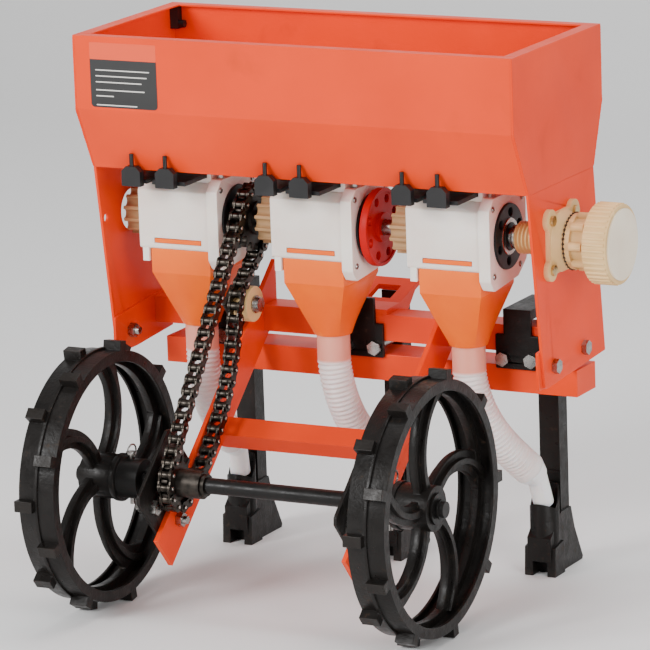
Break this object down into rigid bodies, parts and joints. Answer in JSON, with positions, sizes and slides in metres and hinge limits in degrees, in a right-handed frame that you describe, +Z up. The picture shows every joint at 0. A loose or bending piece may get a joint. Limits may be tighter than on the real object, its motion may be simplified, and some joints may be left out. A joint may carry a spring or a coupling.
{
  "type": "push seeder",
  "caption": "Wheeled row seeder: steel hopper over fluted metering units, chain driven from spoked wheels, with funnels, hoses and furrow openers.",
  "frame": {"origin": "middle of the machine's footprint, on the ground", "axes": "+X along the hopper towards the adjuster knob, +Y towards the furrow openers, away from the press wheels, +Z up"},
  "size_m": [0.5536, 0.456, 0.56],
  "materials": {
    "orange_paint": "gloss powder coat",
    "orange_plastic": "semi-gloss moulded",
    "milky_plastic": "slightly translucent moulded",
    "tan_plastic": "satin moulded",
    "cap_plastic": "satin disc",
    "black_plastic": "moulded",
    "red_plastic": "moulded",
    "black_iron": "black paint on rough casting",
    "dark_steel": "oiled chain steel",
    "hose_plastic": "corrugated translucent hose",
    "spout_plastic": "smooth tube",
    "zinc": "zinc plated",
    "brass_screws": "yellow zinc plated"
  },
  "bodies": {
    "frame": {"adjuster_flange": "tan_plastic", "arm_cross_tube": "orange_paint", "axle_bearings": "zinc", "bearing_carrier_plates": "black_iron", "chain_inner_links": "dark_steel", "chain_outer_links": "dark_steel", "drive_arm_left": "orange_paint", "drive_arm_right": "orange_paint", "end_straps": "orange_paint", "flange_screw_set": "brass_screws", "hitch_plate": "orange_paint", "hopper_back_panel": "orange_paint", "hopper_end_left": "orange_paint", "hopper_end_right": "orange_paint", "hopper_floor": "orange_paint", "hopper_front_panel": "orange_paint", "hose_spouts": "spout_plastic", "idler_bolt": "zinc", "idler_bracket": "black_iron", "lid_corner_clip": "black_plastic", "lower_tool_beam": "orange_paint", "metering_housing_left": "milky_plastic", "metering_housing_middle": "milky_plastic", "metering_housing_right": "milky_plastic", "opener_clamps": "black_iron", "opener_left": "black_iron", "opener_middle": "black_iron", "opener_right": "black_iron", "seed_funnel_left": "orange_plastic", "seed_funnel_middle": "orange_plastic", "seed_funnel_right": "orange_plastic", "seed_hose_left": "hose_plastic", "seed_hose_middle": "hose_plastic", "seed_hose_right": "hose_plastic", "side_plate_left": "orange_paint", "side_plate_right": "orange_paint", "upper_tool_beam": "orange_paint", "zinc_bolts": "zinc"},
    "axle": {"wheel_axle": "black_iron", "press_wheel_left": "black_iron", "press_wheel_right": "black_iron", "wheel_sleeves": "black_iron", "wheel_pins": "zinc", "axle_sprocket": "dark_steel"},
    "feed_drive": {"feed_sprocket": "dark_steel", "rotor_discs": "black_plastic"},
    "feed_carrier": {"thrust_collar": "zinc"},
    "feed_shaft_set": {"feed_shaft": "zinc", "feed_roller_left": "tan_plastic", "feed_roller_middle": "tan_plastic", "feed_roller_right": "tan_plastic", "index_disc": "red_plastic"},
    "adjuster": {"adjuster_screw": "tan_plastic", "adjuster_knob": "tan_plastic", "knob_cap": "cap_plastic"},
    "lock_nut_body": {"lock_nut": "tan_plastic"},
    "idler": {"chain_idler": "tan_plastic"},
    "shutter_left_body": {"shutter_left": "black_plastic"},
    "shutter_middle_body": {"shutter_middle": "black_plastic"},
    "shutter_right_body": {"shutter_right": "black_plastic"}
  },
  "joints": [
    {"name": "axle_spin", "type": "hinge", "parent": "frame", "child": "axle", "pos_m": [-0.0372, -0.0935, 0.1345], "axis": [1, 0, 0], "continuous": true, "deforming": ["chain_inner_links", "chain_outer_links"]},
    {"name": "feed_drive_spin", "type": "hinge", "parent": "frame", "child": "feed_drive", "pos_m": [-0.1282, 0.0825, 0.365], "axis": [1, 0, 0], "continuous": true},
    {"name": "rate_slide", "type": "slide", "parent": "frame", "child": "feed_carrier", "axis": [1, 0, 0], "range_m": [0, 0.025]},
    {"name": "feed_shaft_spin", "type": "hinge", "parent": "feed_carrier", "child": "feed_shaft_set", "pos_m": [-0.0312, 0.0825, 0.365], "axis": [1, 0, 0], "continuous": true},
    {"name": "adjuster_turn", "type": "hinge", "parent": "feed_carrier", "child": "adjuster", "pos_m": [0.2588, 0.0825, 0.365], "axis": [1, 0, 0], "range_deg": [0, 2250]},
    {"name": "lock_nut_turn", "type": "hinge", "parent": "adjuster", "child": "lock_nut_body", "pos_m": [0.2308, 0.0825, 0.365], "axis": [1, 0, 0], "range_deg": [0, 30]},
    {"name": "idler_spin", "type": "hinge", "parent": "frame", "child": "idler", "pos_m": [-0.1272, 0.0625, 0.281], "axis": [1, 0, 0], "continuous": true},
    {"name": "shutter_left_slide", "type": "slide", "parent": "frame", "child": "shutter_left_body", "axis": [0, -1, 0], "range_m": [0, 0.045]},
    {"name": "shutter_middle_slide", "type": "slide", "parent": "frame", "child": "shutter_middle_body", "axis": [0, -1, 0], "range_m": [0, 0.045]},
    {"name": "shutter_right_slide", "type": "slide", "parent": "frame", "child": "shutter_right_body", "axis": [0, -1, 0], "range_m": [0, 0.045]}
  ],
  "couplings": [
    {"joint": "feed_drive_spin", "follows": "axle_spin", "ratio": 0.8},
    {"joint": "feed_shaft_spin", "follows": "axle_spin", "ratio": 0.8},
    {"joint": "adjuster_turn", "follows": "rate_slide", "rad_per_m": 1570.8}
  ]
}
